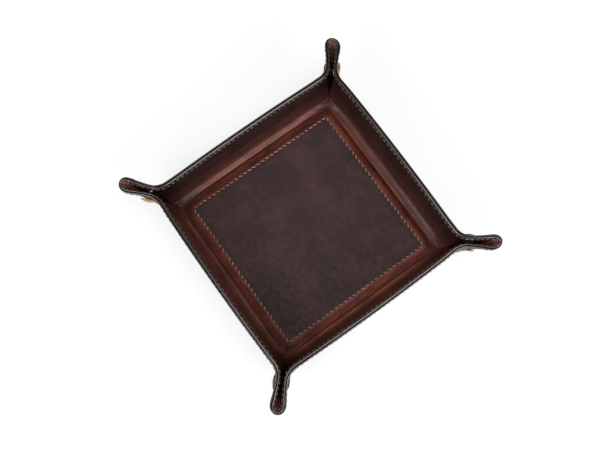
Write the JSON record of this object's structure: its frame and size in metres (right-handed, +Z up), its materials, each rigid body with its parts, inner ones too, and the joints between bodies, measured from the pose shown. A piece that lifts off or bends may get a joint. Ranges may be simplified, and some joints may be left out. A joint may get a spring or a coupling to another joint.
{
  "type": "valet tray",
  "caption": "Square leather valet tray with stitched rims, a raised board floor and snapped corner ears that come undone so that the walls fold flat.",
  "frame": {"origin": "middle of the underside, on the surface that the tray stands on", "axes": "+Z up out of the tray, +X to the right wall and +Y to the back wall, each square to its wall's crease; the ears point along the diagonals, and the snap caps are on the flaps of the right and left walls"},
  "size_m": [0.203, 0.203, 0.0392],
  "materials": {
    "lining_leather": "burnished dark brown, waxed",
    "outer_leather": "burnished dark brown, waxed",
    "board": "grey-brown fibre board",
    "thread": "waxed tan thread",
    "snap_brass": "antique brass",
    "snap_steel": "plated spring steel"
  },
  "bodies": {
    "base": {"floor_outer": "outer_leather", "floor_lining": "lining_leather", "base_board": "board", "floor_thread": "thread"},
    "right_wall": {"right_wall_outer": "outer_leather", "right_wall_lining": "lining_leather", "right_wall_thread": "thread"},
    "back_wall": {"back_wall_outer": "outer_leather", "back_wall_lining": "lining_leather", "back_wall_thread": "thread"},
    "left_wall": {"left_wall_outer": "outer_leather", "left_wall_lining": "lining_leather", "left_wall_thread": "thread"},
    "front_wall": {"front_wall_outer": "outer_leather", "front_wall_lining": "lining_leather", "front_wall_thread": "thread"},
    "back_right_cap_flap": {"back_right_cap_flap_outer": "outer_leather", "back_right_cap_flap_lining": "lining_leather", "back_right_cap_flap_thread": "thread", "back_right_snap_cap": "snap_brass", "back_right_snap_socket": "snap_steel", "back_right_ear_fold": "outer_leather"},
    "back_right_post_flap": {"back_right_post_flap_outer": "outer_leather", "back_right_post_flap_lining": "lining_leather", "back_right_post_flap_thread": "thread", "back_right_snap_stud": "snap_steel", "back_right_snap_post": "snap_brass"},
    "back_left_cap_flap": {"back_left_cap_flap_outer": "outer_leather", "back_left_cap_flap_lining": "lining_leather", "back_left_cap_flap_thread": "thread", "back_left_snap_cap": "snap_brass", "back_left_snap_socket": "snap_steel", "back_left_ear_fold": "outer_leather"},
    "back_left_post_flap": {"back_left_post_flap_outer": "outer_leather", "back_left_post_flap_lining": "lining_leather", "back_left_post_flap_thread": "thread", "back_left_snap_stud": "snap_steel", "back_left_snap_post": "snap_brass"},
    "front_right_cap_flap": {"front_right_cap_flap_outer": "outer_leather", "front_right_cap_flap_lining": "lining_leather", "front_right_cap_flap_thread": "thread", "front_right_snap_cap": "snap_brass", "front_right_snap_socket": "snap_steel", "front_right_ear_fold": "outer_leather"},
    "front_right_post_flap": {"front_right_post_flap_outer": "outer_leather", "front_right_post_flap_lining": "lining_leather", "front_right_post_flap_thread": "thread", "front_right_snap_stud": "snap_steel", "front_right_snap_post": "snap_brass"},
    "front_left_cap_flap": {"front_left_cap_flap_outer": "outer_leather", "front_left_cap_flap_lining": "lining_leather", "front_left_cap_flap_thread": "thread", "front_left_snap_cap": "snap_brass", "front_left_snap_socket": "snap_steel", "front_left_ear_fold": "outer_leather"},
    "front_left_post_flap": {"front_left_post_flap_outer": "outer_leather", "front_left_post_flap_lining": "lining_leather", "front_left_post_flap_thread": "thread", "front_left_snap_stud": "snap_steel", "front_left_snap_post": "snap_brass"}
  },
  "joints": [
    {"name": "right_wall_fold", "type": "hinge", "parent": "base", "child": "right_wall", "pos_m": [0.071, 0, 0], "axis": [0, 1, 0], "range_deg": [0, 69]},
    {"name": "back_wall_fold", "type": "hinge", "parent": "base", "child": "back_wall", "pos_m": [0, 0.071, 0], "axis": [-1, 0, 0], "range_deg": [0, 69]},
    {"name": "left_wall_fold", "type": "hinge", "parent": "base", "child": "left_wall", "pos_m": [-0.071, 0, 0], "axis": [0, -1, 0], "range_deg": [0, 69]},
    {"name": "front_wall_fold", "type": "hinge", "parent": "base", "child": "front_wall", "pos_m": [0, -0.071, 0], "axis": [1, 0, 0], "range_deg": [0, 69]},
    {"name": "back_right_cap_flap_bend", "type": "hinge", "parent": "right_wall", "child": "back_right_cap_flap", "pos_m": [0.06827, 0.07225, 0.00065], "axis": [0.2789, 0.1132, 0.9536], "range_deg": [0, 45.36], "deforming": ["back_right_ear_fold"]},
    {"name": "back_right_post_flap_bend", "type": "hinge", "parent": "back_wall", "child": "back_right_post_flap", "pos_m": [0.07225, 0.06827, 0.00065], "axis": [-0.1132, -0.2789, -0.9536], "range_deg": [0, 45.36]},
    {"name": "back_left_cap_flap_bend", "type": "hinge", "parent": "left_wall", "child": "back_left_cap_flap", "pos_m": [-0.06827, 0.07225, 0.00065], "axis": [0.2789, -0.1132, -0.9536], "range_deg": [0, 45.36], "deforming": ["back_left_ear_fold"]},
    {"name": "back_left_post_flap_bend", "type": "hinge", "parent": "back_wall", "child": "back_left_post_flap", "pos_m": [-0.07225, 0.06827, 0.00065], "axis": [-0.1132, 0.2789, 0.9536], "range_deg": [0, 45.36]},
    {"name": "front_right_cap_flap_bend", "type": "hinge", "parent": "right_wall", "child": "front_right_cap_flap", "pos_m": [0.06827, -0.07225, 0.00065], "axis": [-0.2789, 0.1132, -0.9536], "range_deg": [0, 45.36], "deforming": ["front_right_ear_fold"]},
    {"name": "front_right_post_flap_bend", "type": "hinge", "parent": "front_wall", "child": "front_right_post_flap", "pos_m": [0.07225, -0.06827, 0.00065], "axis": [0.1132, -0.2789, 0.9536], "range_deg": [0, 45.36]},
    {"name": "front_left_cap_flap_bend", "type": "hinge", "parent": "left_wall", "child": "front_left_cap_flap", "pos_m": [-0.06827, -0.07225, 0.00065], "axis": [-0.2789, -0.1132, 0.9536], "range_deg": [0, 45.36], "deforming": ["front_left_ear_fold"]},
    {"name": "front_left_post_flap_bend", "type": "hinge", "parent": "front_wall", "child": "front_left_post_flap", "pos_m": [-0.07225, -0.06827, 0.00065], "axis": [0.1132, 0.2789, -0.9536], "range_deg": [0, 45.36]}
  ],
  "couplings": [
    {"joint": "back_wall_fold", "follows": "right_wall_fold", "ratio": 1},
    {"joint": "left_wall_fold", "follows": "right_wall_fold", "ratio": 1},
    {"joint": "front_wall_fold", "follows": "right_wall_fold", "ratio": 1},
    {"joint": "back_right_cap_flap_bend", "follows": "right_wall_fold", "ratio": 0.65672},
    {"joint": "back_right_post_flap_bend", "follows": "right_wall_fold", "ratio": 0.65672},
    {"joint": "back_left_cap_flap_bend", "follows": "right_wall_fold", "ratio": 0.65672},
    {"joint": "back_left_post_flap_bend", "follows": "right_wall_fold", "ratio": 0.65672},
    {"joint": "front_right_cap_flap_bend", "follows": "right_wall_fold", "ratio": 0.65672},
    {"joint": "front_right_post_flap_bend", "follows": "right_wall_fold", "ratio": 0.65672},
    {"joint": "front_left_cap_flap_bend", "follows": "right_wall_fold", "ratio": 0.65672},
    {"joint": "front_left_post_flap_bend", "follows": "right_wall_fold", "ratio": 0.65672}
  ]
}
